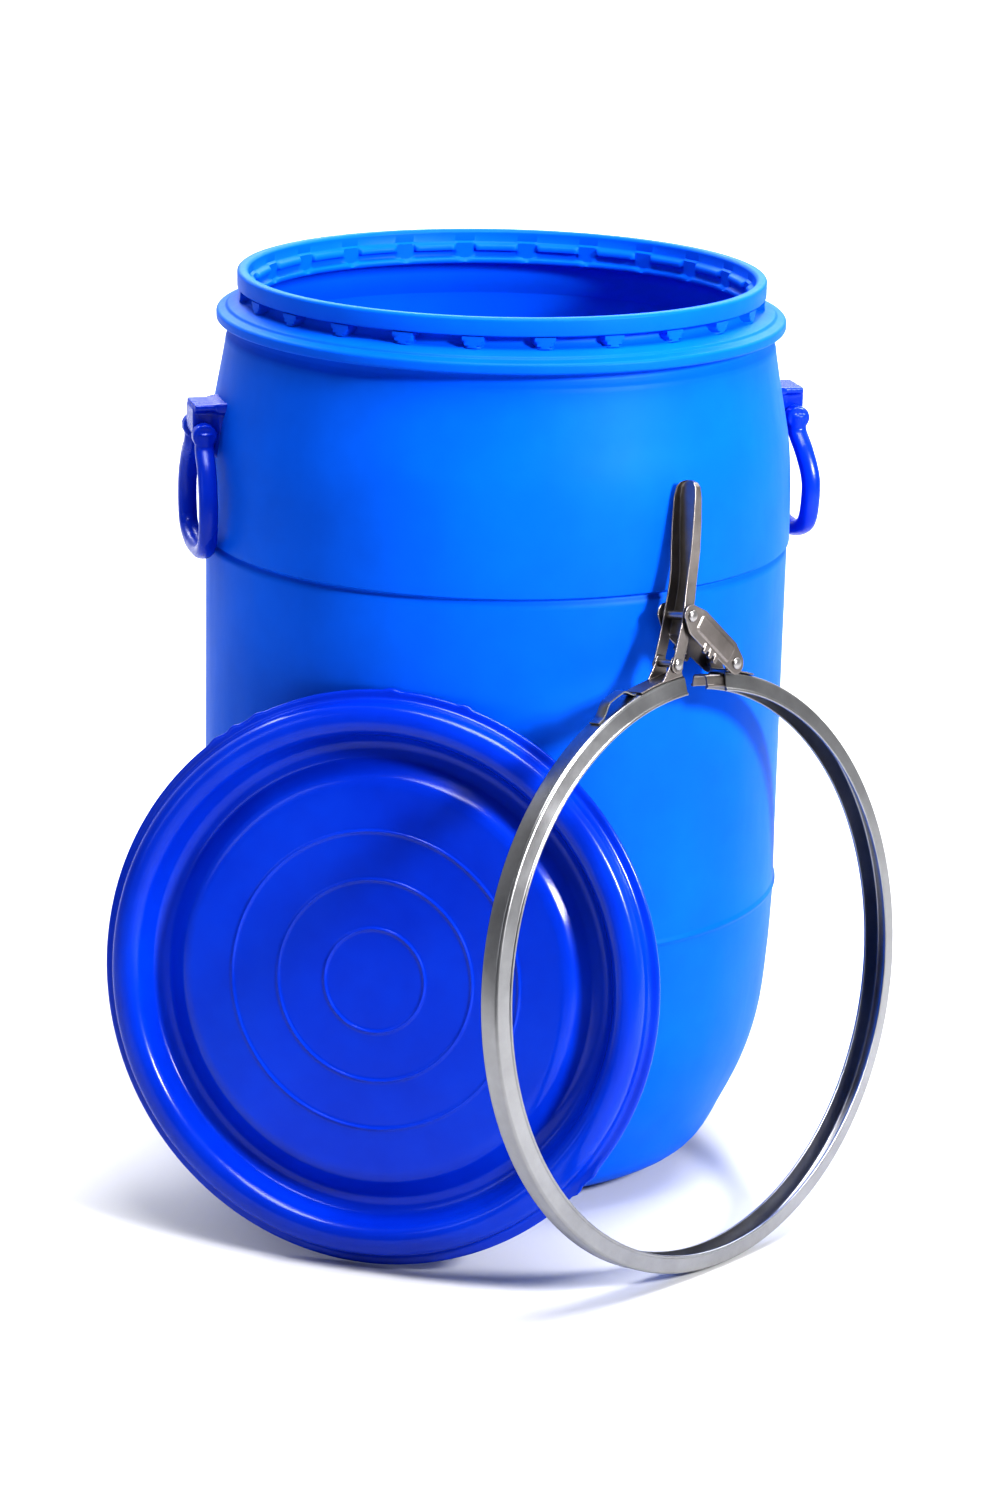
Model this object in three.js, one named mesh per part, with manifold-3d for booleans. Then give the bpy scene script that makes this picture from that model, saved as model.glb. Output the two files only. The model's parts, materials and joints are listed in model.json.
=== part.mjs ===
// Plastic open head drum, 60 litre class, with its lid and its steel closing ring.
// Millimetres, +Z up, origin at the centre of the drum's base. The drum stands open; the lid and
// the opened closing ring lean against its front, which faces -Y.
import * as THREE from 'three';
import { mergeVertices } from 'three/addons/utils/BufferGeometryUtils.js';
import Module from 'manifold-3d';

const wasm = await Module();
wasm.setup();

const RAD = Math.PI / 180;
const GAP = 0.35;                 // free space kept between pieces that touch

// ---- driving dimensions -------------------------------------------------------------------
const DRUM = {
  height: 624,
  wall: 3.5,
  floor: 4.5,
  segments: 48,
  ribs: 24,
  ribTurn: -5.68,                 // angle of the first neck rib from the front, degrees
};
const HANDLE = {
  turn: 15,                       // how far the pair of handles is turned from the X axis, degrees
  pinRadius: 209,                 // distance of the pivot axis from the drum axis
  pinHeight: DRUM.height - 104,
  bar: 5.8,                       // radius of the grip bar
  eye: 7.2,
  eyeLength: 10,
  stub: 4,                        // radius of the short pins that snap into the lug
  lugHalf: 12.5,
  shelfSide: 3,                   // how far the lug's shelf reaches over each eye
};
const LID = {
  radius: 192,
  skirt: 18.5,                    // crown top to the back face of the rim flange
  turn: -16.6,                    // heading of the outer face, degrees from -Y towards +X
  lean: 8.8,
  centre: [-75.6, -236.2],
  segments: 40,
};
const RING = {
  radius: 199,                    // outer radius with the lever open
  depth: 10.7,
  webHalf: 6,
  mouthHalf: 9.2,
  sheet: 1,
  turn: 47,
  lean: 7.6,
  centre: [139, -215.5],
  leftEnd: 0.2,                   // band ends, degrees from the top, positive to the left
  rightEnd: -11.5,
  segments: 72,
};
// Closure points in the plane of the ring, x to the right and y up from the ring's centre.
const PIVOT_A = new THREE.Vector2(-7.9, 208.1);
const PIVOT_B = new THREE.Vector2(5.3, 237.9);
const PIVOT_C = new THREE.Vector2(45.4, 199.7);
const LEVER_MIDDLE = new THREE.Vector2(14.6, 270.6);
const LEVER_TIP = new THREE.Vector2(22.4, 323.8);

// Plates that lie side by side: distances from the middle plane of the ring, then the outlines.
const SHEET = 1.2;
const EAR = { inner: 6.0, outer: 7.2, radius: 5.5 };
const LEG = { inner: 7.6, outer: 8.8, half: 5, eye: 6 };
const PLATE = { inner: 11.1, outer: 12.3, eye: 7.5, webLow: 9.4, webHigh: 10.6 };
const RIVET = { shank: 2.5, hole: 2.9, head: 4.4, headHeight: 1.4 };

// ---- materials ----------------------------------------------------------------------------
const finish = (color, roughness, metalness) => (
  new THREE.MeshStandardMaterial({ color, roughness, metalness })
);
const plastic = (color, roughness) => finish(color, roughness, 0);
const steel = (color, roughness) => finish(color, roughness, 1);
const BLUE_BODY = 0x0a4fe0;
const BLUE_LID = 0x0a20c8;
const ZINC = 0xb9bcc0;
const ZINC_DARK = 0x8f8b88;
const RUBBER_BLACK = 0x1c1c1e;

// ---- geometry helpers ---------------------------------------------------------------------
const v2 = (x, y) => new THREE.Vector2(x, y);
const v3 = (x, y, z) => new THREE.Vector3(x, y, z);

/** Point at a radius and an angle measured from straight up, positive to the left. */
function polar(radius, degreesLeft) {
  return v2(-radius * Math.sin(degreesLeft * RAD), radius * Math.cos(degreesLeft * RAD));
}

/** Closed three.js geometry to a manifold solid, dropping the slivers that lie on an axis. */
function toSolid(geometry) {
  const bare = geometry.clone();
  for (const name of Object.keys(bare.attributes)) {
    if (name !== 'position') bare.deleteAttribute(name);
  }
  const merged = mergeVertices(bare, 1e-4);
  const index = merged.index.array;
  const triangles = [];
  for (let i = 0; i < index.length; i += 3) {
    const [a, b, c] = [index[i], index[i + 1], index[i + 2]];
    if (a !== b && b !== c && c !== a) triangles.push(a, b, c);
  }
  return new wasm.Manifold(new wasm.Mesh({
    numProp: 3,
    vertProperties: new Float32Array(merged.attributes.position.array),
    triVerts: new Uint32Array(triangles),
  }));
}

/** Manifold solid back to an indexed three.js geometry. */
function toGeometry(solid) {
  const mesh = solid.getMesh();
  const geometry = new THREE.BufferGeometry();
  geometry.setAttribute('position', new THREE.BufferAttribute(mesh.vertProperties.slice(), 3));
  geometry.setIndex(new THREE.BufferAttribute(mesh.triVerts.slice(), 1));
  geometry.computeVertexNormals();
  return geometry;
}

/** Solid of revolution about Z of a closed outline, points in counter-clockwise order. */
function revolve(outline, segments, turn = 0) {
  const geometry = new THREE.LatheGeometry([...outline, outline[0]], segments);
  geometry.rotateX(Math.PI / 2);
  geometry.rotateZ(turn * RAD);
  return geometry;
}

/** Flat outline in XY, in either direction, extruded from z = low to z = high. */
function slab(points, low, high, holes = []) {
  const clockwise = THREE.ShapeUtils.isClockWise(points);
  const shape = new THREE.Shape(clockwise ? [...points].reverse() : points);
  for (const { centre, radius } of holes) {
    const path = new THREE.Path();
    path.absarc(centre.x, centre.y, radius, 0, 2 * Math.PI, true);
    shape.holes.push(path);
  }
  const settings = { depth: high - low, bevelEnabled: false, curveSegments: 6 };
  const geometry = new THREE.ExtrudeGeometry(shape, settings);
  geometry.translate(0, 0, low);
  return geometry;
}

/** Points of an arc about a centre, from one angle to another in degrees from +X. */
function arc(centre, radius, from, to, steps) {
  const points = [];
  for (let i = 0; i <= steps; i += 1) {
    const angle = (from + (to - from) * i / steps) * RAD;
    points.push(v2(centre.x + radius * Math.cos(angle), centre.y + radius * Math.sin(angle)));
  }
  return points;
}

/** Points of an arc about the ring's centre, between angles from the top, positive to the left. */
function sweep(radius, from, to, steps) {
  return Array.from({ length: steps + 1 }, (_, i) => polar(radius, from + (to - from) * i / steps));
}

/** Polyline moved sideways to its left by a distance. */
function offset(points, distance) {
  return points.map((point, i) => {
    const before = points[Math.max(i - 1, 0)];
    const after = points[Math.min(i + 1, points.length - 1)];
    const along = after.clone().sub(before).normalize();
    return v2(point.x - along.y * distance, point.y + along.x * distance);
  });
}

/** Turned solid along the Z axis with the given half outline, from the lower to the upper end. */
function turned(outline, sides = 12) {
  const geometry = new THREE.LatheGeometry(outline, sides);
  geometry.rotateX(Math.PI / 2);
  return geometry;
}

// ---- drum body ----------------------------------------------------------------------------
/** Outer outline of the blow moulded wall from the foot to just under the neck. */
function drumWallOutline() {
  const foot = new THREE.SplineCurve([
    v2(126, 0), v2(155, 16), v2(172.7, 47), v2(186.5, 79), v2(194.8, 113), v2(198.9, 158),
    v2(200.4, 190),
  ]).getPoints(10);
  const shoulder = new THREE.SplineCurve([
    v2(202, 445), v2(201.2, 485), v2(198.8, 515), v2(193.6, 543), v2(189.4, 566), v2(187.7, 577),
  ]).getPoints(6);
  const lowerBead = [v2(200.6, 197.5), v2(202.0, 200), v2(200.6, 202.5)];
  const middle = [v2(200.2, 300), v2(200.6, 442.5)];
  return [...foot, ...lowerBead, ...middle, ...shoulder];
}

/** Outer and inner outline of the neck: groove, collar, rib zone and lip. */
function neckOutline() {
  const top = DRUM.height;
  const outer = [
    v2(184.2, top - 44), v2(183.2, top - 40), v2(184.0, top - 36), v2(191.5, top - 35.4),
    v2(193.4, top - 33), v2(193.2, top - 27.5), v2(190.5, top - 23.5), v2(185.5, top - 21),
    v2(178.5, top - 20.2), v2(176.8, top - 19), v2(171.5, top - 13), v2(172.5, top - 12),
    v2(180.0, top - 12), v2(180.0, top - 1.5), v2(178.5, top), v2(174.0, top),
  ];
  const inner = [
    v2(172.3, top - 1.8), v2(172.3, top - 8), v2(168.2, top - 11), v2(168.0, top - 21),
    v2(173.0, top - 25), v2(178.6, top - 30), v2(179.0, top - 42),
  ];
  return { outer, inner };
}

/** One raised rib that bridges the recess under the lip. */
function neckRib(angle) {
  const rib = new THREE.CylinderGeometry(4.6, 5.2, 9.4, 8);
  rib.rotateX(Math.PI / 2);
  rib.translate(0, -172.8, DRUM.height - 16.2);
  rib.rotateZ(angle * RAD);
  return rib;
}

/** Moulded lug that carries one swing handle, standing out along -Y before it is turned. */
function handleLug() {
  const { pinRadius, pinHeight, lugHalf, shelfSide, eye, stub } = HANDLE;
  const shelfTop = 20;
  const shelfLow = 15.5;
  const side = [
    v2(192, shelfTop), v2(214.5, shelfTop), v2(214.5, shelfLow), v2(213.5, shelfLow - 1), v2(213.5, 1),
    v2(208.5, -10), v2(197, -15),
  ].map((p) => v2(p.x, p.y + pinHeight));
  const block = slab(side, -lugHalf, lugHalf);
  // The side outline lies in XY: X becomes outwards (-Y) and Y becomes up.
  block.applyMatrix4(new THREE.Matrix4().makeBasis(v3(0, -1, 0), v3(0, 0, 1), v3(-1, 0, 0)));
  const shelf = new THREE.BoxGeometry(2 * (lugHalf + shelfSide), 214.5 - 192, shelfTop - shelfLow);
  shelf.translate(0, -(214.5 + 192) / 2, pinHeight + (shelfTop + shelfLow) / 2);
  const bore = new THREE.CylinderGeometry(stub + 0.4, stub + 0.4, 2 * lugHalf + 20, 12);
  bore.rotateZ(Math.PI / 2);
  bore.translate(0, -pinRadius, pinHeight);
  const core = new THREE.BoxGeometry(2 * (lugHalf - 6), 2 * eye, 2 * eye);
  core.translate(0, -pinRadius, pinHeight);
  const sockets = toSolid(bore).subtract(toSolid(core));
  return { solid: toSolid(block).add(toSolid(shelf)), sockets };
}

function drumBody() {
  const wall = drumWallOutline();
  const { outer, inner } = neckOutline();
  const inside = offset(wall.filter((p, i) => i > 1 && i % 2 === 0), DRUM.wall)
    .filter((p) => p.y > DRUM.floor + 4)
    .reverse();
  const outline = [
    v2(0, 0), ...wall, ...outer, ...inner, ...inside,
    v2(142, DRUM.floor + 4), v2(124, DRUM.floor), v2(0, DRUM.floor),
  ];
  let solid = toSolid(revolve(outline, DRUM.segments, DRUM.ribTurn));
  for (let i = 0; i < DRUM.ribs; i += 1) {
    solid = solid.add(toSolid(neckRib(DRUM.ribTurn + i * 360 / DRUM.ribs)));
  }
  for (const angle of [-90 + HANDLE.turn, 90 + HANDLE.turn]) {
    const lug = handleLug();
    solid = solid.add(lug.solid.rotate([0, 0, angle]));
    solid = solid.subtract(lug.sockets.rotate([0, 0, angle]));
  }
  return toGeometry(solid);
}

// ---- swing handles ------------------------------------------------------------------------
/** Handle in its own frame: X along the pivot axis, -Y outwards, Z up, origin on the pivot. */
function swingHandle() {
  const { bar, eye, eyeLength, stub, lugHalf } = HANDLE;
  const eyeStart = lugHalf + GAP + 0.3;
  const limb = eyeStart + bar + 0.2;
  const half = [
    v3(limb, 0, -2), v3(limb + 1.2, -0.8, -11), v3(30.5, -2.2, -22), v3(36, -3, -38),
    v3(35.5, -2.6, -54), v3(26, -1, -70),
  ];
  const mirrored = half.map((p) => v3(-p.x, p.y, p.z)).reverse();
  const path = new THREE.CatmullRomCurve3([...half, v3(0, 0, -77.7), ...mirrored]);
  const section = new THREE.Shape();
  section.absarc(0, 0, bar, 0, 2 * Math.PI, false);
  const grip = new THREE.ExtrudeGeometry(section, { steps: 30, extrudePath: path, curveSegments: 5 });
  let solid = toSolid(grip);
  for (const side of [-1, 1]) {
    const boss = new THREE.CylinderGeometry(eye, eye, eyeLength, 16);
    boss.rotateZ(Math.PI / 2);
    boss.translate(side * (eyeStart + eyeLength / 2), 0, 0);
    const pin = new THREE.CylinderGeometry(stub, stub, 8, 12);
    pin.rotateZ(Math.PI / 2);
    pin.translate(side * (eyeStart - 1), 0, 0);
    solid = solid.add(toSolid(boss)).add(toSolid(pin));
  }
  return toGeometry(solid);
}

// ---- lid ----------------------------------------------------------------------------------
/** Lid in its own frame: +Z out of its outer face, z = 0 at the top of the crown. */
function lidShell() {
  const { radius, skirt, segments } = LID;
  const face = [
    v2(radius, -skirt), v2(radius, -skirt + 2.6), v2(190.6, -skirt + 3.6), v2(185.6, -14.2),
    v2(184.2, -12.6), v2(183.6, -6.5), v2(181.4, -2.6), v2(176.5, -0.4), v2(171, 0),
    v2(166.4, -1.6), v2(163.4, -5.4), v2(161.6, -12), v2(158.8, -18.4), v2(153.5, -21),
    v2(146.5, -20.4), v2(139.5, -14.8), v2(134.5, -10), v2(129.5, -8.6), v2(0, -8.6),
  ];
  const back = [
    v2(0, -11.6), v2(128.6, -11.6), v2(132.8, -12.6), v2(137.6, -17.2), v2(145.5, -23.4),
    v2(154.4, -24), v2(161.2, -20.4), v2(164.8, -12.4), v2(166.6, -6.2), v2(170, -3.2),
    v2(176.4, -3.4), v2(179.6, -5), v2(180.8, -8), v2(181.4, -skirt),
  ];
  return revolve([...face, ...back], segments);
}

/** Flat sealing ring that lies in the channel under the crown. */
function lidGasket() {
  const top = -3.4 - GAP;
  return revolve([
    v2(170.2, top - 3.2), v2(178.4, top - 3.2), v2(178.8, top - 1.8), v2(176.6, top),
    v2(170.6, top), v2(169.4, top - 1.6),
  ], LID.segments);
}

// ---- closing ring -------------------------------------------------------------------------
/** Cross section of a folded channel: web at the outer radius, legs opening towards the axis. */
function channelSection(radius, depth, webHalf, mouthHalf, sheet) {
  const inner = radius - depth;
  const corner = 1.4;
  return [
    v2(inner, -mouthHalf), v2(radius - corner, -webHalf - corner), v2(radius, -webHalf),
    v2(radius, webHalf), v2(radius - corner, webHalf + corner), v2(inner, mouthHalf),
    v2(inner - 0.2, mouthHalf - sheet), v2(radius - corner - sheet * 0.7, webHalf + corner - sheet),
    v2(radius - sheet, webHalf - 0.5), v2(radius - sheet, -webHalf + 0.5),
    v2(radius - corner - sheet * 0.7, -webHalf - corner + sheet), v2(inner - 0.2, -mouthHalf + sheet),
  ];
}

/** Part of a revolved section between two angles from the top, positive to the left. */
function bandPiece(section, from, to) {
  const reach = 1.6 * RING.radius;
  const steps = Math.ceil(Math.abs(to - from) / 60);
  const wedge = [v2(0, 0), ...sweep(reach, from, to, steps)];
  const cutter = toSolid(slab(wedge, -2 * RING.mouthHalf, 2 * RING.mouthHalf));
  return toSolid(revolve(section, RING.segments)).intersect(cutter);
}

function ringBand(side) {
  const { radius, depth, webHalf, mouthHalf, sheet, leftEnd, rightEnd } = RING;
  const section = channelSection(radius, depth, webHalf, mouthHalf, sheet);
  const split = GAP / 2 / radius / RAD;
  const [from, to] = side === 'left' ? [leftEnd, 180 - split] : [rightEnd, -180 + split];
  return toGeometry(bandPiece(section, from, to));
}

/** Narrow channel that bridges the gap of the band, fixed inside its right end. */
function gapBridge() {
  const section = channelSection(RING.radius - 2.2, 8.2, 4.4, 6.6, 0.9);
  return toGeometry(bandPiece(section, RING.rightEnd + 5, RING.rightEnd - 5.5));
}

/** Strip bent into a low loop on the band, for a seal wire or a padlock. */
function sealLoop() {
  const low = RING.radius + GAP;
  const high = RING.radius + 7.5;
  const top = [[low, 24], [low, 22], [high - SHEET, 19.6], [high - SHEET, 15.4], [low, 13.8], [low, 12.9]];
  const outer = top.map(([radius, angle], i) => {
    const bend = [0, 0.3, 0.35, -0.35, -0.3, 0][i];
    return polar(radius + SHEET, angle + bend);
  });
  const inner = top.map(([radius, angle]) => polar(radius, angle));
  return slab([...outer, ...inner.reverse()], -4, 4);
}

/** Folded bracket on the band: a foot from one angle to another and two ears round a pivot. */
function earBracket(pivot, foot, ear) {
  const low = RING.radius + GAP;
  const floor = low + SHEET;
  const outline = [
    ...sweep(low, foot[1], foot[0], 4),
    polar(floor, foot[0]), polar(floor, ear[0]),
    ...arc(pivot, EAR.radius, 180, 0, 8),
    polar(floor, ear[1]), polar(floor, foot[1]),
  ];
  const hole = { centre: pivot, radius: RIVET.hole };
  const folded = toSolid(slab(outline, -EAR.outer, EAR.outer, [hole]));
  const clear = 8;                           // the space between the ears overshoots both ways
  const between = [
    ...sweep(floor, foot[0] + clear, foot[1] - clear, 8),
    ...sweep(floor + 40, foot[1] - clear, foot[0] + clear, 1),
  ];
  return toGeometry(folded.subtract(toSolid(slab(between, -EAR.inner, EAR.inner))));
}

/** Centre line of the lever from its pivot to its tip. */
function leverLine() {
  const curve = new THREE.SplineCurve([PIVOT_A, PIVOT_B, LEVER_MIDDLE, LEVER_TIP]);
  return curve.getPoints(12);
}

/** Lever pressed as a channel, open towards the band when it is closed. */
function lever() {
  const line = leverLine();
  const right = offset(line, -LEG.half);
  const left = offset(line, LEG.half);
  const heading = PIVOT_B.clone().sub(PIVOT_A).angle() / RAD;
  const eye = arc(PIVOT_A, LEG.eye, heading + 120, heading + 240, 5);
  const leg = [...right.slice(1), ...left.slice(1).reverse(), ...eye];
  const holes = [PIVOT_A, PIVOT_B].map((centre) => ({ centre, radius: RIVET.hole }));
  const body = toSolid(slab(leg, -LEG.outer, LEG.outer, holes));
  const webStart = 3;                        // the web starts this many steps up the lever
  const keep = offset(line, -LEG.half + 1.2).slice(webStart, -1);
  const far = offset(line, LEG.half + 15);
  const below = offset(line, -LEG.half - 15);
  const pocket = [
    below[webStart], ...keep, line.at(-1).clone().lerp(line.at(-2), 0.12), far.at(-2),
    ...far.slice(0, -2).reverse(), v2(PIVOT_A.x, PIVOT_A.y - 30), v2(PIVOT_A.x + 30, PIVOT_A.y - 10),
  ];
  return toGeometry(body.subtract(toSolid(slab(pocket, -LEG.inner, LEG.inner))));
}

/** Toggle link between the lever and the right end of the band, a folded pair of plates. */
function toggleLink() {
  const along = PIVOT_C.clone().sub(PIVOT_B);
  const length = along.length();
  const outline = [
    ...arc(v2(0, 0), PLATE.eye, 215, 120, 5), v2(8, PLATE.webHigh), v2(length - 4, PLATE.webHigh),
    ...arc(v2(length, 0), PLATE.eye, 75, -90, 7), v2(length - 16, -9), v2(22, -12), v2(4, -12),
  ];
  const holes = [v2(0, 0), v2(length, 0)].map((centre) => ({ centre, radius: RIVET.hole }));
  const body = toSolid(slab(outline, -PLATE.outer, PLATE.outer, holes));
  const pocket = [
    v2(-20, -30), v2(length + 20, -30), v2(length + 20, 20), v2(length - 7, 20),
    v2(length - 7, PLATE.webLow), v2(14, PLATE.webLow), v2(14, 20), v2(-20, 20),
  ];
  const link = body.subtract(toSolid(slab(pocket, -PLATE.inner, PLATE.inner)));
  const geometry = toGeometry(link);
  geometry.rotateZ(along.angle());
  geometry.translate(PIVOT_B.x, PIVOT_B.y, 0);
  return geometry;
}

/** Rivet with two domed heads, its axis along Z. */
function rivet(centre, reach) {
  const { shank, head, headHeight } = RIVET;
  const geometry = turned([
    v2(0, -reach - headHeight), v2(head * 0.6, -reach - headHeight * 0.8), v2(head, -reach - 0.3),
    v2(head, -reach), v2(shank, -reach), v2(shank, reach), v2(head, reach), v2(head, reach + 0.3),
    v2(head * 0.6, reach + headHeight * 0.8), v2(0, reach + headHeight),
  ]);
  geometry.translate(centre.x, centre.y, 0);
  return geometry;
}

/** Short rivet through one link plate only, ending beside the bracket ear; side is +1 or -1. */
function halfRivet(centre, side) {
  const { shank, head, headHeight } = RIVET;
  const outside = PLATE.outer + GAP;
  const inside = PLATE.inner - GAP;
  const geometry = turned([
    v2(0, EAR.outer + GAP), v2(3.8, EAR.outer + GAP), v2(3.8, inside), v2(shank, inside), v2(shank, outside),
    v2(head, outside), v2(head, outside + 0.3), v2(head * 0.6, outside + headHeight * 0.8),
    v2(0, outside + headHeight),
  ]);
  if (side < 0) geometry.rotateX(Math.PI);
  geometry.translate(centre.x, centre.y, 0);
  return geometry;
}

// ---- assembly -----------------------------------------------------------------------------
const object = new THREE.Group();

function add(parent, name, geometry, material) {
  const mesh = new THREE.Mesh(geometry, material);
  mesh.name = name;
  parent.add(mesh);
  return mesh;
}

/** Group that stands a flat round piece up: its XY plane faces the heading and leans back. */
function leaningGroup({ turn, lean, centre }, height) {
  const a = turn * RAD;
  const b = lean * RAD;
  const out = v3(Math.sin(a) * Math.cos(b), -Math.cos(a) * Math.cos(b), Math.sin(b));
  const across = v3(Math.cos(a), Math.sin(a), 0);
  const up = out.clone().cross(across);
  const group = new THREE.Group();
  group.applyMatrix4(new THREE.Matrix4().makeBasis(across, up, out));
  group.position.set(centre[0], centre[1], height);
  object.add(group);
  return group;
}

add(object, 'drum_body', drumBody(), plastic(BLUE_BODY, 0.42));

for (const [name, angle] of [['handle_left', -90 + HANDLE.turn], ['handle_right', 90 + HANDLE.turn]]) {
  const place = new THREE.Group();
  place.rotation.z = angle * RAD;
  const seat = v3(0, -HANDLE.pinRadius, HANDLE.pinHeight);
  const handle = add(place, name, swingHandle(), plastic(BLUE_BODY, 0.35));
  handle.position.copy(seat);
  object.add(place);
}

const lidHeight = LID.radius * Math.cos(LID.lean * RAD) + LID.skirt * Math.sin(LID.lean * RAD);
const lidGroup = leaningGroup(LID, lidHeight);
add(lidGroup, 'lid', lidShell(), plastic(BLUE_LID, 0.3));
add(lidGroup, 'lid_gasket', lidGasket(), plastic(RUBBER_BLACK, 0.8));

const ringHeight = RING.radius * Math.cos(RING.lean * RAD) + RING.webHalf * Math.sin(RING.lean * RAD);
const ringGroup = leaningGroup(RING, ringHeight);
add(ringGroup, 'ring_band_left', ringBand('left'), steel(ZINC, 0.35));
add(ringGroup, 'ring_band_right', ringBand('right'), steel(ZINC, 0.35));
add(ringGroup, 'gap_bridge', gapBridge(), steel(ZINC_DARK, 0.45));
add(ringGroup, 'seal_loop', sealLoop(), steel(ZINC, 0.4));
add(ringGroup, 'lever_bracket', earBracket(PIVOT_A, [12.4, 0.6], [6.5, 0.8]), steel(ZINC_DARK, 0.4));
add(ringGroup, 'link_bracket', earBracket(PIVOT_C, [-11.7, -20], [-11.9, -16]), steel(ZINC_DARK, 0.4));
add(ringGroup, 'lever', lever(), steel(ZINC_DARK, 0.4));
add(ringGroup, 'toggle_link', toggleLink(), steel(ZINC_DARK, 0.4));
add(ringGroup, 'lever_rivet', rivet(PIVOT_A, LEG.outer + GAP), steel(ZINC, 0.3));
add(ringGroup, 'link_rivet', rivet(PIVOT_B, PLATE.outer + GAP), steel(ZINC, 0.3));
add(ringGroup, 'end_rivet_front', halfRivet(PIVOT_C, 1), steel(ZINC, 0.3));
add(ringGroup, 'end_rivet_back', halfRivet(PIVOT_C, -1), steel(ZINC, 0.3));

export default object;
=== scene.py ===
"""Plastic open head drum with its lid and its lever-lock closing ring, dressed round the CAD frame."""
import json
import math

import bmesh
import bpy
from mathutils import Matrix, Vector


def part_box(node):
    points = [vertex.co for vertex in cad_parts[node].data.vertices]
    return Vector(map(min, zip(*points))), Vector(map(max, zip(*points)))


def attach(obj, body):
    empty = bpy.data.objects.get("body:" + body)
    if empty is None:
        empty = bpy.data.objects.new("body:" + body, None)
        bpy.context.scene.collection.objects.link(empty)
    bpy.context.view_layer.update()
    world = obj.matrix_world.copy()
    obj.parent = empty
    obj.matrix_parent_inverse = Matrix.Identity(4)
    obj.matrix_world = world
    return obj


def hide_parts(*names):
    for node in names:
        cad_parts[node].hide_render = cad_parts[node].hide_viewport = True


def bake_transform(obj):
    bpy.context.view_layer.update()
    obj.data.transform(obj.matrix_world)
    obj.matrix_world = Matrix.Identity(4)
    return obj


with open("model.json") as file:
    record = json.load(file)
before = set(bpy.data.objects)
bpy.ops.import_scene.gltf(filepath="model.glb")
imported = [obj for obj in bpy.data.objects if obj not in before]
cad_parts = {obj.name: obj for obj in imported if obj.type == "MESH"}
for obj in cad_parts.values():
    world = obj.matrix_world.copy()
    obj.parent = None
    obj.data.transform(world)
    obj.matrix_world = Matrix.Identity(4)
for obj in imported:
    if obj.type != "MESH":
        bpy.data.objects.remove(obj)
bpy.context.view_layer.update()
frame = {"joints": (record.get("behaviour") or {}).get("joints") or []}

MM = 0.001
TAU = 2 * math.pi
JOINTS = {joint["name"]: joint for joint in frame["joints"]}

# Driving sizes, in millimetres. The places of the pieces come from the frame's joints and boxes.
DRUM_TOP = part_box("drum_body")[1].z / MM
RIBS = 24
RIB_TURN = -5.68
RIB_HALF = 7.4
HANDLE_BAR = 5.8
LUG_HALF = 12.5
LUG_EDGE = 215.5
SHELF_EDGE = 214.5
EYE_RADIUS = 8.2
EYE_LENGTH = 10
LID_RADIUS = 192
LID_SKIRT = 18.5
LID_TURN = -16.6
LID_LEAN = 8.8
LID_CENTRE = (-75.6, -236.2)
RING_RADIUS = 199
RING_INNER = 188.3
RING_DEPTH = 12.6
SHEET = 1.2
BAND_ENDS = (0.2, 348.5)           # degrees from the top of the ring, going left
BRIDGE_ENDS = (-6.5, -17)
LEG_OUT = 8.8                      # half width of the lever over its legs
PLATE_IN, PLATE_OUT = 11.1, 12.3   # the toggle link's plates, from the ring's middle plane
EAR_IN, EAR_OUT = 6.0, 7.2
RIVET_SHANK = 2.5
RIVET_HEAD = 3.8
END_HEAD = 3.9                     # head of the end rivets
RIVET_PLAY = 0.35                  # gap between a sheet and the rivet's collar or head


# ---- points and profiles --------------------------------------------------------------------
def catmull(points, steps):
    """Smooth curve through the points, of any dimension, with that many steps per stretch."""
    padded = [points[0], *points, points[-1]]
    result = []
    for a, b, c, d in zip(padded, padded[1:], padded[2:], padded[3:]):
        for i in range(steps):
            t = i / steps
            result.append(tuple(
                0.5 * (2 * q + (r - p) * t + (2 * p - 5 * q + 4 * r - s) * t * t
                       + (3 * q - p - 3 * r + s) * t ** 3)
                for p, q, r, s in zip(a, b, c, d)
            ))
    return [*result, tuple(points[-1])]


def rounded(points, radius, steps=3, closed=False):
    """Outline with each corner eased by a short curve that starts a radius before it."""
    count = len(points)
    result = []
    for i, corner in enumerate(points):
        if not closed and i in (0, count - 1):
            result.append(tuple(corner))
            continue
        here = Vector(corner)
        before = Vector(points[i - 1]) - here
        after = Vector(points[(i + 1) % count]) - here
        cut = min(radius, 0.45 * before.length, 0.45 * after.length)
        first = here + before.normalized() * cut
        last = here + after.normalized() * cut
        for k in range(steps + 1):
            t = k / steps
            result.append(tuple(first * (1 - t) ** 2 + here * 2 * t * (1 - t) + last * t * t))
    return result


def smoothstep(value):
    value = min(max(value, 0.0), 1.0)
    return value * value * (3 - 2 * value)


def polar(radius, degrees_left):
    """Point of the ring's plane at an angle from its top, positive to the left."""
    angle = math.radians(degrees_left)
    return (-radius * math.sin(angle), radius * math.cos(angle))


# ---- meshes ---------------------------------------------------------------------------------
def mesh_object(name, verts, faces, matrix=None):
    """New object from points in millimetres, moved by a matrix in metres."""
    mesh = bpy.data.meshes.new(name)
    mesh.from_pydata([Vector(v) * MM for v in verts], [], faces)
    if matrix is not None:
        mesh.transform(matrix)
    tidy = bmesh.new()
    tidy.from_mesh(mesh)
    bmesh.ops.remove_doubles(tidy, verts=tidy.verts, dist=1e-7)
    bmesh.ops.recalc_face_normals(tidy, faces=tidy.faces)
    tidy.to_mesh(mesh)
    tidy.free()
    obj = bpy.data.objects.new(name, mesh)
    bpy.context.scene.collection.objects.link(obj)
    return obj


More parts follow.
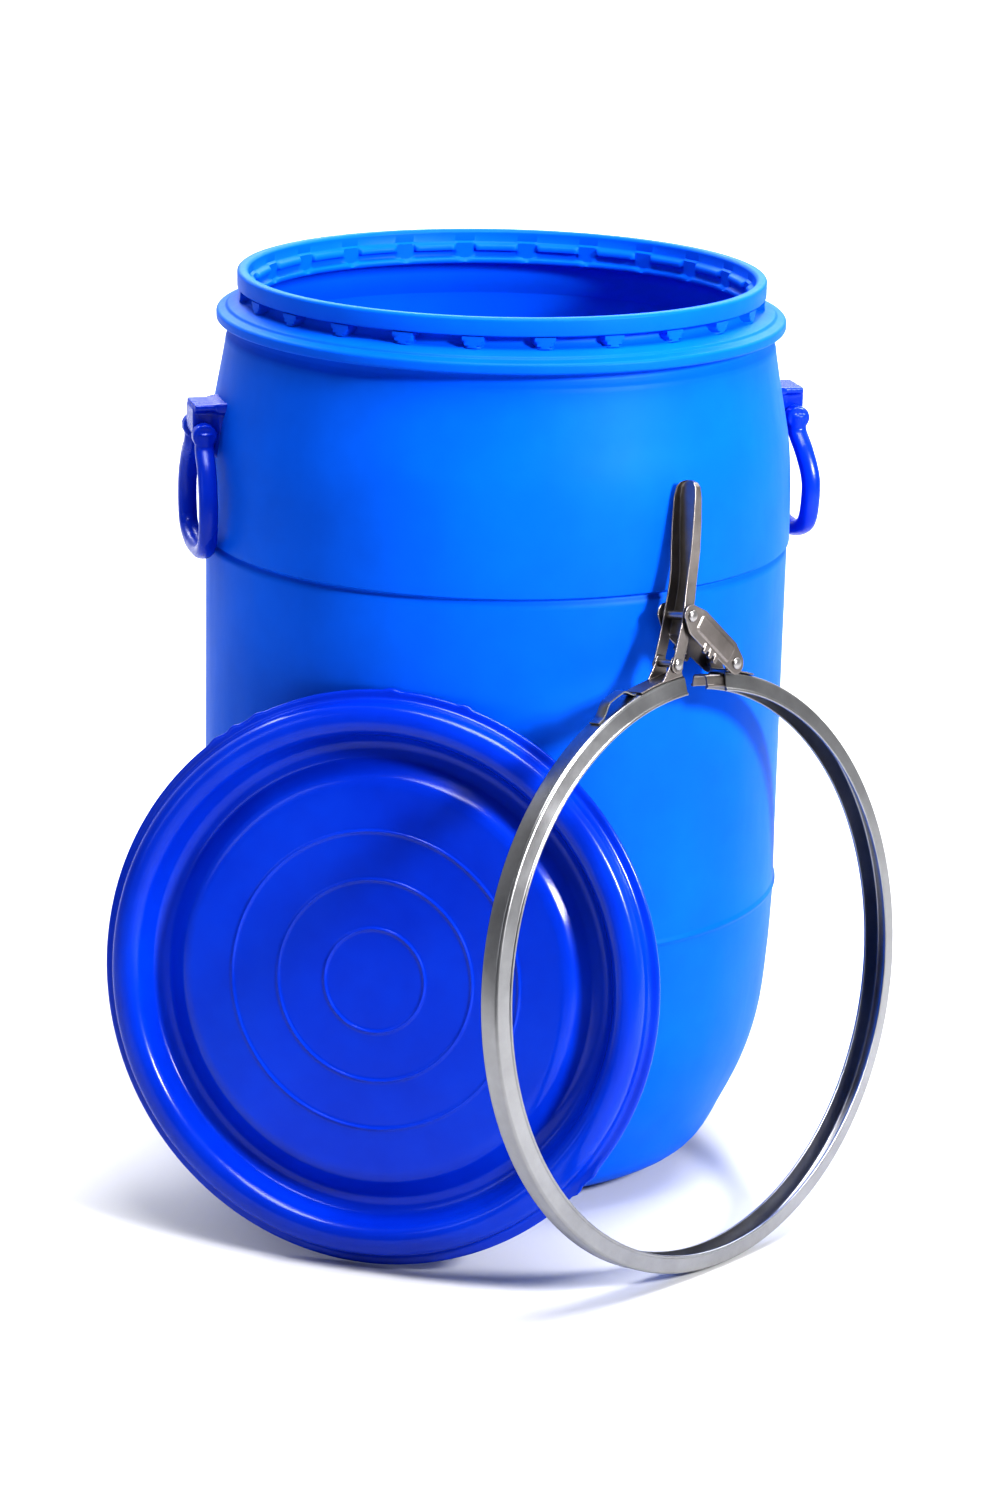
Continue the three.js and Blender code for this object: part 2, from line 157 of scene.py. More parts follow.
def finish_piece(obj, body, material, nodes=(), sharp=35):
    """Shading, material, the body it rides on and the CAD nodes it stands for."""
    obj.data.shade_smooth()
    obj.data.set_sharp_from_angle(angle=math.radians(sharp))
    obj.data.materials.clear()
    obj.data.materials.append(material)
    if body:
        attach(obj, body)
    if nodes:
        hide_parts(*nodes)
    return obj


def lathe(name, profile, columns, matrix=None, radius_at=None):
    """Turned closed skin. A profile that starts and ends on the axis gets poles there."""
    verts = []
    rows = []
    for i, (radius, height) in enumerate(profile):
        if radius < 1e-6:
            rows.append([len(verts)] * len(columns))
            verts.append((0, 0, height))
            continue
        row = []
        for angle in columns:
            r = radius_at(i, radius, height, angle) if radius_at else radius
            row.append(len(verts))
            verts.append((r * math.sin(angle), -r * math.cos(angle), height))
        rows.append(row)
    if rows[0][0] != rows[0][1]:
        rows.append(rows[0])
    faces = []
    for low, high in zip(rows, rows[1:]):
        for k in range(len(columns)):
            j = (k + 1) % len(columns)
            quad = [low[k], low[j], high[j], high[k]]
            faces.append(list(dict.fromkeys(quad)))
    return mesh_object(name, verts, faces, matrix)


def even(count):
    return [TAU * k / count for k in range(count)]


def loft(name, sections, matrix=None):
    """Closed skin through sections of equal point count, capped at both ends."""
    size = len(sections[0])
    verts = [point for section in sections for point in section]
    faces = [list(range(size)), list(range(len(verts) - size, len(verts)))]
    for s in range(len(sections) - 1):
        for k in range(size):
            j = (k + 1) % size
            faces.append([s * size + k, s * size + j, (s + 1) * size + j, (s + 1) * size + k])
    return mesh_object(name, verts, faces, matrix)


def plate(name, outline, low, high, matrix=None):
    """Flat outline in the XY plane with thickness along Z."""
    return loft(name, [[(x, y, z) for x, y in outline] for z in (low, high)], matrix)


def joined(name, parts):
    """One object out of several."""
    whole = bmesh.new()
    for part in parts:
        whole.from_mesh(part.data)
        bpy.data.objects.remove(part)
    mesh = bpy.data.meshes.new(name)
    whole.to_mesh(mesh)
    whole.free()
    obj = bpy.data.objects.new(name, mesh)
    bpy.context.scene.collection.objects.link(obj)
    return obj


def fused(obj, voxel, rounds):
    """Overlapping closed shells made into one moulded or pressed skin with soft inner corners."""
    remesh = obj.modifiers.new("fuse", "REMESH")
    remesh.mode = "VOXEL"
    remesh.voxel_size = voxel * MM
    smooth = obj.modifiers.new("soften", "SMOOTH")
    smooth.factor = 0.5
    smooth.iterations = rounds
    graph = bpy.context.evaluated_depsgraph_get()
    mesh = bpy.data.meshes.new_from_object(obj.evaluated_get(graph))
    obj.modifiers.clear()
    obj.data = mesh
    return obj


def stand(turn, lean, origin):
    """Matrix that stands a flat round piece up: Z faces the heading and leans back, Y is up."""
    a, b = math.radians(turn), math.radians(lean)
    out = Vector((math.sin(a) * math.cos(b), -math.cos(a) * math.cos(b), math.sin(b)))
    across = Vector((math.cos(a), math.sin(a), 0))
    return Matrix.Translation(origin) @ Matrix((across, out.cross(across), out)).transposed().to_4x4()


# ---- materials ------------------------------------------------------------------------------
def new_material(name):
    material = bpy.data.materials.new(name)
    material.use_nodes = True
    tree = material.node_tree
    return material, tree, tree.nodes["Principled BSDF"]


def object_noise(tree, scale, detail=3.0, roughness=0.5, stretch=(1, 1, 1)):
    """Noise in the object's own coordinates, in features per metre."""
    coords = tree.nodes.new("ShaderNodeTexCoord")
    mapping = tree.nodes.new("ShaderNodeMapping")
    mapping.inputs["Scale"].default_value = stretch
    tree.links.new(coords.outputs["Object"], mapping.inputs["Vector"])
    noise = tree.nodes.new("ShaderNodeTexNoise")
    noise.inputs["Scale"].default_value = scale
    noise.inputs["Detail"].default_value = detail
    noise.inputs["Roughness"].default_value = roughness
    tree.links.new(mapping.outputs["Vector"], noise.inputs["Vector"])
    return noise.outputs["Fac"]


def ramp(tree, source, stops):
    node = tree.nodes.new("ShaderNodeValToRGB")
    for element, (place, color) in zip(node.color_ramp.elements, stops[:2]):
        element.position = place
        element.color = (*color, 1)
    for place, color in stops[2:]:
        node.color_ramp.elements.new(place).color = (*color, 1)
    tree.links.new(source, node.inputs["Fac"])
    return node.outputs["Color"]


def spread(tree, source, low, high):
    """Value from 0..1 stretched to low..high."""
    node = tree.nodes.new("ShaderNodeMapRange")
    node.inputs["From Min"].default_value = 0.3
    node.inputs["From Max"].default_value = 0.7
    node.inputs["To Min"].default_value = low
    node.inputs["To Max"].default_value = high
    tree.links.new(source, node.inputs["Value"])
    return node.outputs["Result"]


def bump(tree, shader, source, height, distance=0.001, chain=None):
    node = tree.nodes.new("ShaderNodeBump")
    node.inputs["Strength"].default_value = height
    node.inputs["Distance"].default_value = distance
    tree.links.new(source, node.inputs["Height"])
    if chain is not None:
        tree.links.new(chain, node.inputs["Normal"])
    tree.links.new(node.outputs["Normal"], shader.inputs["Normal"])
    return node.outputs["Normal"]


def moulded_plastic(name, dark, middle, light, gloss, grain, shine):
    """Polyethylene: cloudy pigment, slight flow marks, fine orange peel and uneven gloss."""
    material, tree, shader = new_material(name)
    clouds = object_noise(tree, 9, 4, 0.6)
    color = ramp(tree, clouds, [(0.3, dark), (0.72, light), (0.5, middle)])
    tree.links.new(color, shader.inputs["Base Color"])
    smudges = object_noise(tree, 26, 5, 0.65, (1, 1, 0.35))
    tree.links.new(spread(tree, smudges, gloss[0], gloss[1]), shader.inputs["Roughness"])
    shader.inputs["IOR"].default_value = 1.5
    shader.inputs["Specular IOR Level"].default_value = shine
    peel = bump(tree, shader, object_noise(tree, 900, 2), grain, 0.0004)
    bump(tree, shader, object_noise(tree, 38, 2), grain * 1.4, 0.0012, peel)
    return material


def sheet_steel(name, dark, light, gloss, streaks):
    """Zinc coated steel: cloudy grey, rolling streaks along the strip and uneven shine."""
    material, tree, shader = new_material(name)
    shader.inputs["Metallic"].default_value = 1.0
    clouds = object_noise(tree, 14, 6, 0.65)
    color = ramp(tree, clouds, [(0.3, dark), (0.7, light)])
    tree.links.new(color, shader.inputs["Base Color"])
    tree.links.new(spread(tree, clouds, gloss[0], gloss[1]), shader.inputs["Roughness"])
    fine = object_noise(tree, 420, 3, 0.6, streaks)
    bump(tree, shader, fine, 0.1, 0.0003)
    return material


def foam_rubber(name):
    material, tree, shader = new_material(name)
    pores = object_noise(tree, 1200, 2)
    color = ramp(tree, pores, [(0.35, (0.012, 0.012, 0.014)), (0.7, (0.035, 0.035, 0.038))])
    tree.links.new(color, shader.inputs["Base Color"])
    tree.links.new(spread(tree, pores, 0.75, 0.9), shader.inputs["Roughness"])
    bump(tree, shader, pores, 0.5, 0.0006)
    return material


BODY_BLUE = moulded_plastic(
    "body_blue", (0.0, 0.112, 0.62), (0.0, 0.124, 0.68), (0.0, 0.138, 0.74), (0.42, 0.52), 0.10, 0.1)
LID_BLUE = moulded_plastic(
    "lid_blue", (0.0, 0.031, 0.40), (0.0, 0.039, 0.46), (0.0, 0.050, 0.52), (0.16, 0.26), 0.07, 0.34)
HANDLE_BLUE = moulded_plastic(
    "handle_blue", (0.0, 0.032, 0.42), (0.0, 0.039, 0.47), (0.0, 0.05, 0.53), (0.22, 0.32), 0.08, 0.32)
BAND_ZINC = sheet_steel(
    "band_zinc", (0.27, 0.27, 0.275), (0.40, 0.40, 0.41), (0.26, 0.36), (1, 1, 0.2))
LEVER_ZINC = sheet_steel(
    "lever_zinc", (0.20, 0.18, 0.17), (0.36, 0.33, 0.315), (0.30, 0.44), (1, 1, 0.15))
RIVET_ZINC = sheet_steel(
    "rivet_zinc", (0.30, 0.29, 0.29), (0.44, 0.43, 0.43), (0.26, 0.36), (1, 1, 1))
SEAL_FOAM = foam_rubber("seal_foam")


# ---- camera, floor and light ----------------------------------------------------------------
CAMERA_PLACE = (0.0059, -2.8538, 1.1116)
CAMERA_PITCH = 16.157              # degrees down from level
CAMERA_ROLL = 1.318
CAMERA_LENS = 101.6                # mm, for a 36 mm high film
FLOOR_HALF = 40000


def add_camera():
    """Photo's view: a long lens a little above the rim, tipped down and rolled a hair."""
    pitch, roll = math.radians(CAMERA_PITCH), math.radians(CAMERA_ROLL)
    forward = Vector((0, math.cos(pitch), -math.sin(pitch)))
    level_up = Vector((0, math.sin(pitch), math.cos(pitch)))
    right = Vector((1, 0, 0)) * math.cos(roll) + level_up * math.sin(roll)
    turn = Matrix((right, right.cross(forward), -forward)).transposed().to_4x4()
    data = bpy.data.cameras.new("photo_view")
    data.sensor_fit = "VERTICAL"
    data.sensor_height = 36
    data.lens = CAMERA_LENS
    camera = bpy.data.objects.new("photo_view", data)
    camera.matrix_world = Matrix.Translation(CAMERA_PLACE) @ turn
    bpy.context.scene.collection.objects.link(camera)
    bpy.context.scene.camera = camera


def add_floor():
    """Pale floor, a hair under the object so that the two never share a plane."""
    corners = [(x * FLOOR_HALF, y * FLOOR_HALF, 0) for x, y in ((-1, -1), (1, -1), (1, 1), (-1, 1))]
    floor = mesh_object("floor", corners, [[0, 1, 2, 3]])
    floor.location.z = -0.0004
    material, tree, shader = new_material("pale_floor")
    color = ramp(tree, object_noise(tree, 2, 2), [(0.3, (0.56, 0.56, 0.57)), (0.7, (0.59, 0.59, 0.60))])
    tree.links.new(color, shader.inputs["Base Color"])
    shader.inputs["Roughness"].default_value = 0.75
    floor.data.materials.append(material)


def add_area_light(name, place, target, size, power, color=(1, 1, 1)):
    data = bpy.data.lights.new(name, "AREA")
    data.shape = "RECTANGLE"
    data.size, data.size_y = size
    data.energy = power
    data.color = color
    light = bpy.data.objects.new(name, data)
    light.location = place
    light.rotation_euler = (Vector(target) - Vector(place)).to_track_quat("-Z", "Y").to_euler()
    bpy.context.scene.collection.objects.link(light)


def add_lights():
    """Key from the right, weak fill, a soft light overhead and one that whitens the far floor."""
    middle = (0, 0, 0.35)
    add_area_light("key_right", (2.3, -1.9, 1.8), middle, (0.45, 0.55), 122)
    add_area_light("fill_left", (-2.3, -1.6, 1.3), middle, (0.4, 1.5), 5, (0.95, 0.97, 1))
    add_area_light("top", (0.2, -0.5, 2.5), (0, -0.1, 0.3), (1.5, 0.9), 56)
    add_area_light("backdrop", (0, 4.6, 3.4), (0, 4.6, 0), (7, 4.5), 560)
    world = bpy.data.worlds.new("studio")
    world.use_nodes = True
    tree = world.node_tree
    background = tree.nodes["Background"]
    coords = tree.nodes.new("ShaderNodeTexCoord")
    parts = tree.nodes.new("ShaderNodeSeparateXYZ")
    tree.links.new(coords.outputs["Generated"], parts.inputs["Vector"])
    lift = tree.nodes.new("ShaderNodeMapRange")
    lift.inputs["From Min"].default_value = -1.0
    lift.inputs["From Max"].default_value = 1.0
    tree.links.new(parts.outputs["Y"], lift.inputs["Value"])
    sky = ramp(tree, lift.outputs["Result"], [(0.0, (0.20, 0.21, 0.23)), (1.0, (1.0, 1.0, 1.0)),
                                              (0.42, (0.25, 0.26, 0.28)), (0.8, (1.0, 1.0, 1.0))])
    tree.links.new(sky, background.inputs["Color"])
    background.inputs["Strength"].default_value = 0.6
    bpy.context.scene.world = world
    bpy.context.scene.view_settings.view_transform = "Standard"
    bpy.context.scene.view_settings.look = "High Contrast"


# ---- drum -----------------------------------------------------------------------------------
def rib_share(height, angle):
    """1 on a neck rib and 0 between ribs; a rib is a tongue that ends in a half round."""
    pitch = TAU / RIBS
    off = (angle - math.radians(RIB_TURN) + pitch / 2) % pitch - pitch / 2
    below = max(0.0, (DRUM_TOP - 14.0 - height) / 7.2)
    if below >= 1:
        return 0.0
    half = RIB_HALF * math.sqrt(1 - below * below)
    return smoothstep((half + 0.7 - abs(off) * 173) / 1.4)


def drum_columns():
    """Angles round the drum, closer together at the flanks of every rib."""
    offsets = [-6.2, -4.6, -3.4, -2.8, -2.5, -2.2, -1.7, -0.9, 0, 0.9, 1.7, 2.2, 2.5, 2.8, 3.4, 4.6, 6.2]
    return [math.radians(RIB_TURN + i * 360 / RIBS + offset) for i in range(RIBS) for offset in offsets]


def drum_profile():
    """Outline of the blown skin from the middle of the base, up the outside and back down inside."""
    top = DRUM_TOP
    foot = catmull([
        (126, 0), (155, 16), (172.7, 47), (186.5, 79), (194.8, 113), (198.9, 158), (200.4, 190),
    ], 6)
    bead = [(200.5, 196.6), (200.7, 198.4), (201.9, 199.6), (201.9, 200.9), (200.7, 202), (200.5, 203.6)]
    middle = [(200.2, 240), (200.2, 300), (200.3, 380), (200.5, 436)]
    step = [(200.2, 440.2), (198.9, 441.2), (198.7, 442.6), (199.6, 443.6), (201.9, 444.6)]
    shoulder = catmull([
        (202, 446), (201.2, 485), (198.8, 515), (193.6, 543), (189.4, 566), (187.7, 577),
    ], 6)
    neck = rounded([
        (187.7, 577), (186.9, top - 44.6), (185.4, top - 42.6), (183.9, top - 40), (183.2, top - 37.4),
        (183.2, top - 34.8), (192.8, top - 34.2), (194, top - 33),
        (194, top - 28.2), (192.8, top - 26.8), (187.6, top - 25.4), (186.4, top - 23.6),
        (178, top - 20.6),
    ], 0.8)
    recess = [
        (176.8, top - 20.2), (175.2, top - 19.4), (174.0, top - 18.4), (173.2, top - 17.4),
        (172.6, top - 16.2), (172.1, top - 14.8), (171.8, top - 13.6), (172.1, top - 12.7),
    ]
    lip = rounded([
        (172.8, top - 12.1), (179.9, top - 12.1), (180.0, top - 1.4), (178.4, top), (174.2, top),
        (172.3, top - 1.8), (172.3, top - 8),
    ], 0.9)
    pads = [
        (171.6, top - 9.2), (169.4, top - 10.0), (168.3, top - 11.2), (168.0, top - 12.8),
        (168.3, top - 14.2), (170.8, top - 14.9), (171.4, top - 15.8), (171.2, top - 18.4),
        (170.4, top - 19.4), (168.8, top - 20.0), (168.2, top - 20.8), (168.2, top - 22.6),
    ]
    throat = rounded([(169.0, top - 23.8), (173.4, top - 25), (178.6, top - 30), (179.2, top - 42)], 3)
    inner_wall = [(r - 3.5, z) for r, z in reversed([*foot[6:], *bead[:1], *middle, *shoulder])]
    floor = [*catmull([inner_wall[-1], (148, 15), (140, 8.4), (124, 4.6)], 4)[1:], (60, 4.5), (0, 4.5)]
    base = [(0, 0), (70, 0), (112, 0)]
    outside = [*base, *foot, *bead, *middle, *step, *shoulder[:-1], *neck]
    return outside, recess, lip, pads, [*throat, *inner_wall, *floor]


def drum_shell():
    outside, recess, lip, pads, inside = drum_profile()
    profile = [*outside, *recess, *lip, *pads, *inside]
    in_recess = range(len(outside), len(outside) + len(recess))
    first_pad = len(outside) + len(recess) + len(lip)
    in_pads = range(first_pad, first_pad + len(pads))

    def radius_at(i, radius, height, angle):
        if i in in_recess:
            return radius + (179.2 - radius) * rib_share(height, angle)
        if i in in_pads:
            return radius + (170.4 - radius) * rib_share(height, angle)
        return radius

    shell = lathe("drum_shell", profile, drum_columns(), radius_at=radius_at)
    return finish_piece(shell, "drum", BODY_BLUE, ["drum_body"], 50)


def rounded_box(half, low, high, corner):
    """Rounded rectangle in the (sideways, up) plane."""
    return rounded([(-half, low), (half, low), (half, high), (-half, high)], corner, 3, True)


def handle_frame(joint):
    """Frame of one handle: X along its pins, -Y outwards, Z up, origin on the pivot."""
    pin = Vector(JOINTS[joint]["pos_m"])
    out = Vector((pin.x, pin.y, 0)).normalized()
    across = Vector((0, 0, 1)).cross(out)
    return Matrix.Translation(pin) @ Matrix((across, -out, Vector((0, 0, 1)))).transposed().to_4x4()


def handle_lug(name, joint):
    """Moulded lug under a small shelf, flared where it grows out of the wall."""
    place = handle_frame(joint)
    pin_radius = Vector(JOINTS[joint]["pos_m"]).xy.length / MM

    def block(part, stations, corner):
        sections = []
        for radius, half, low, high in stations:
            outline = rounded_box(half, low, high, corner)
            sections.append([(x, pin_radius - radius, z) for x, z in outline])
        return loft(part, sections, place)

    body = block("body", [
        (193, LUG_HALF + 3.5, -19, 17), (198.5, LUG_HALF + 3, -18, 17), (200.5, LUG_HALF + 1, -16, 17),
        (203, LUG_HALF, -14.5, 17), (208.5, LUG_HALF, -10, 17), (LUG_EDGE, LUG_HALF, 1, 17),
    ], 1.5)
    shelf = block("shelf", [
        (191, LUG_HALF + 6, 13.5, 21.5), (198.5, LUG_HALF + 4.5, 14.5, 20.8),
        (202, LUG_HALF + 3, 15.5, 20), (SHELF_EDGE, LUG_HALF + 3, 15.5, 20),
    ], 1.2)
    lug = fused(joined(name, [body, shelf]), 0.9, 3)
    return finish_piece(lug, "drum", HANDLE_BLUE)


def swing_handle(name, joint, bulge):
    """Moulded bail: a flattened round bar between two eyes, one piece with its pins."""
    eye_start = LUG_HALF + 0.65
    limb = eye_start + HANDLE_BAR + 0.2
    half = [
        (limb, 0, 2), (limb, 0, -4), (limb + 1.2, -0.1 * bulge, -11), (30.5, -0.5 * bulge, -23),
        (37.5, -bulge, -40), (38, -bulge, -58), (33, -0.9 * bulge, -71.5), (18, -0.7 * bulge, -79),
    ]
    mirrored = [(-x, y, z) for x, y, z in reversed(half)]
    path = [Vector(p) for p in catmull([*half, (0, -0.6 * bulge, -80.5), *mirrored], 6)]
    sections = []
    for i, point in enumerate(path):
        along = (path[min(i + 1, len(path) - 1)] - path[max(i - 1, 0)]).normalized()
        side = along.cross(Vector((0, 1, 0))).normalized()
        deep = side.cross(along).normalized()
        ring = []
        for k in range(20):
            angle = TAU * k / 20
            flat = math.copysign(abs(math.cos(angle)) ** 0.75, math.cos(angle))
            ring.append(point + side * HANDLE_BAR * flat + deep * HANDLE_BAR * 1.12 * math.sin(angle))
        sections.append(ring)
    place = handle_frame(joint)
    parts = [loft("grip", sections, place)]
    for side in (-1, 1):
        profile = rounded([(0, 0), (EYE_RADIUS, 0), (EYE_RADIUS, EYE_LENGTH), (0, EYE_LENGTH)], 1.4)
        turn = Matrix.Rotation(side * math.pi / 2, 4, "Y")
        at = Matrix.Translation((side * eye_start * MM, 0, 0))
        parts.append(lathe("eye", profile, even(40), place @ at @ turn))
        pin = [(0, -5), (4, -5), (4, 3), (0, 3)]
        parts.append(lathe("pin", pin, even(28), place @ at @ turn))
    handle = fused(joined(name, parts), 0.8, 3)
    return finish_piece(handle, joint.replace("_swing", ""), HANDLE_BLUE, [name])


# ---- lid ------------------------------------------------------------------------------------
def lid_frame():
    lean = math.radians(LID_LEAN)
    height = LID_RADIUS * math.cos(lean) + LID_SKIRT * math.sin(lean)
    return stand(LID_TURN, LID_LEAN, Vector((*LID_CENTRE, height)) * MM)


def raised_ring(radius):
    """Low half-round ring moulded on the lid's panel, as profile points going inwards."""
    half = [(2.6, 0), (1.35, 0), (1.0, 0.25), (0.45, 0.75), (0, 0.9)]
    shape = half + [(-x, z) for x, z in reversed(half[:-1])]
    return [(radius + dx, -8.6 + dz) for dx, dz in shape]


def lid_shell():
    skirt = LID_SKIRT
    rim = rounded([
        (181.4, -skirt), (LID_RADIUS, -skirt), (LID_RADIUS, -skirt + 2.6), (190.4, -skirt + 3.6),
        (186.2, -14.6), (184.4, -12.4), (183.6, -6.5), (181.4, -2.6), (176.5, -0.4), (171, 0),
        (166.4, -1.6), (163.4, -5.4), (161.6, -12), (158.8, -18.4), (153.5, -21), (146.5, -20.4),
        (139.5, -14.8), (134.5, -10), (129.5, -8.6), (124, -8.6),
    ], 2.2)
    panel = [point for radius in (99, 67, 34.4) for point in raised_ring(radius)]
    back = rounded([
        (0, -11.6), (128.6, -11.6), (132.8, -12.6), (137.6, -17.2), (145.5, -23.4), (154.4, -24),
        (161.2, -20.4), (164.8, -12.4), (166.6, -6.2), (170, -3.2), (176.4, -3.4), (179.6, -5),
        (180.8, -8), (181.4, -skirt + 0.3),
    ], 2)
    profile = [*rim, *panel, (0, -8.6), *back]
    tabs = [math.radians(a) for a in (-40, -35.7, -30, -1, 14.3, 126, 130.4)]

    def radius_at(i, radius, height, angle):
        """Small tabs stand out of the skirt's edge; angles here run the other way, from the top."""
        if radius < LID_RADIUS - 3 or height > -skirt + 4:
            return radius
        near = min(abs((math.pi - angle - tab + math.pi) % TAU - math.pi) for tab in tabs)
        return radius - 0.5 + 1.3 * smoothstep((0.022 - near) / 0.008)

    columns = [angle + math.pi for angle in even(360)]
    lid = lathe("lid_shell", profile, columns, lid_frame(), radius_at)
    return finish_piece(lid, "lid", LID_BLUE, ["lid"], 45)


def lid_seal():
    top = -3.75
    profile = rounded([
        (170.2, top - 3.2), (178.4, top - 3.2), (178.8, top - 1.8), (176.6, top), (170.6, top),
        (169.4, top - 1.6),
    ], 0.7, 2, True)
    seal = lathe("lid_seal", profile, even(240), lid_frame())
    return finish_piece(seal, "lid", SEAL_FOAM, ["lid_gasket"])


# ---- closing ring ---------------------------------------------------------------------------
def ring_frame():
    """Frame of the ring: X to its right, Y up its plane, Z out of its front."""
    out = Vector(JOINTS["lever_swing"]["axis"]).normalized()
    across = Vector((0, 0, 1)).cross(out).normalized()
    up = out.cross(across)
    centre = Vector(JOINTS["ring_flex"]["pos_m"]) + up * RING_INNER * MM
    return Matrix.Translation(centre) @ Matrix((across, up, out)).transposed().to_4x4()


RING_FRAME = ring_frame()


def in_ring(joint):
    """A joint's place in the ring's plane, in millimetres."""
    return (RING_FRAME.inverted() @ Vector(JOINTS[joint]["pos_m"])).xy / MM


PIVOT_A = in_ring("lever_swing")
PIVOT_B = in_ring("link_swing")
PIVOT_C = Vector((45.4, 199.7))
LEVER_LINE = [tuple(PIVOT_A), tuple(PIVOT_B), (14.6, 270.6), (22.4, 323.8)]


def channel_section(radius, depth, web_half, mouth_half, sheet):
    """Folded channel in (radius, sideways): flat web, flared legs and a small turned lip."""
    inner = radius - depth
    outside = [
        (inner, -mouth_half), (inner + 0.3, -mouth_half - 0.8), (inner + 1.7, -mouth_half - 0.8),
        (inner + 2.2, -mouth_half + 0.1), (radius - 1.4, -web_half - 1.4),
        (radius, -web_half), (radius, web_half), (radius - 1.4, web_half + 1.4),
        (inner + 2.2, mouth_half - 0.1), (inner + 1.7, mouth_half + 0.8), (inner + 0.3, mouth_half + 0.8),
        (inner, mouth_half),
    ]
    inside = [
        (inner, mouth_half - sheet), (inner + 1.8, mouth_half - sheet - 0.1),
        (radius - 1.4 - sheet * 0.7, web_half + 1.4 - sheet), (radius - sheet, web_half - 0.5),
        (radius - sheet, -web_half + 0.5), (radius - 1.4 - sheet * 0.7, -web_half - 1.4 + sheet),
        (inner + 1.8, -mouth_half + sheet + 0.1), (inner, -mouth_half + sheet),
    ]
    return rounded([*outside, *inside], 0.7, 3, True)


def bent_strip(name, section, start, end, steps):
    """Section swept round the ring's axis between two angles."""
    sections = []
    for i in range(steps + 1):
        angle = start + (end - start) * i / steps
        sections.append([(*polar(radius, angle), side) for radius, side in section])
    return loft(name, sections, RING_FRAME)


def ring_band():
    """One sprung band, swept whole as a single strip tied to no body; the CAD has its flex hinge at the
    bottom.
    """
    section = channel_section(RING_RADIUS, RING_DEPTH, 6, 8.8, 1)
    band = bent_strip("ring_band", section, *BAND_ENDS, 340)
    finish_piece(band, None, BAND_ZINC, ["ring_band_left", "ring_band_right"])
    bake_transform(band)


def gap_bridge():
    section = channel_section(RING_RADIUS - 2.2, 8.2, 4.4, 6.6, 0.9)
    bridge = bent_strip("gap_bridge_strip", section, *BRIDGE_ENDS, 14)
    return finish_piece(bridge, "ring_right", LEVER_ZINC, ["gap_bridge"])


def seal_loop():
    """Strip bent into a low loop, spot welded at both feet."""
    low, high = RING_RADIUS + 0.3, RING_RADIUS + 6.4
    middle = catmull([polar(r + SHEET / 2, a) for r, a in [
        (low, 24.2), (low, 23.2), (low + 0.6, 22.2), (high - 0.6, 20), (high, 18.9), (high, 16.3),
        (high - 0.6, 15.3), (low + 0.6, 13.6), (low, 12.9),
    ]], 4)
    sections = []
    for i, point in enumerate(middle):
        here = Vector(point)
        along = (Vector(middle[min(i + 1, len(middle) - 1)]) - Vector(middle[max(i - 1, 0)])).normalized()
        away = Vector((-along.y, along.x))
        outline = rounded([
            (-SHEET / 2, -4), (SHEET / 2, -4), (SHEET / 2, 4), (-SHEET / 2, 4),
        ], 0.35, 2, True)
        sections.append([(*(here + away * off), side) for off, side in outline])
    loop = loft("seal_loop_strip", sections, RING_FRAME)
    return finish_piece(loop, "ring_left", BAND_ZINC, ["seal_loop"])


def arc(centre, radius, start, end, steps):
    points = []
    for i in range(steps + 1):
        angle = math.radians(start + (end - start) * i / steps)
        points.append((centre[0] + radius * math.cos(angle), centre[1] + radius * math.sin(angle)))
    return points


def ear_bracket(name, node, body, pivot, foot, ear):
    """Pressed bracket: a foot on the band and two rounded ears."""
    low = RING_RADIUS + 0.3
    floor = low + SHEET
    steps = 8
    under = [polar(low, foot[1] + (foot[0] - foot[1]) * i / steps) for i in range(steps + 1)]
    over = [polar(floor, foot[0] + (foot[1] - foot[0]) * i / steps) for i in range(steps + 1)]
    parts = [plate("foot", [*under, *over], -EAR_OUT, EAR_OUT, RING_FRAME)]
    outline = [
        polar(low, ear[0]), *arc(pivot, 5.5, 175, 5, 12), polar(low, ear[1]),
    ]
    for side in (-1, 1):
        levels = sorted((side * EAR_IN, side * EAR_OUT))
        parts.append(plate("ear", outline, *levels, RING_FRAME))
    bracket = fused(joined(name, parts), 0.42, 2)
    return finish_piece(bracket, body, LEVER_ZINC, [node])


def along_line(points, share):
    """Point and heading at a share of the way along a smooth line."""
    curve = [Vector(p) for p in catmull(points, 12)]
    at = min(share, 0.9999) * (len(curve) - 1)
    i = int(at)
    here = curve[i].lerp(curve[i + 1], at - i)
    return here, (curve[i + 1] - curve[i]).normalized()


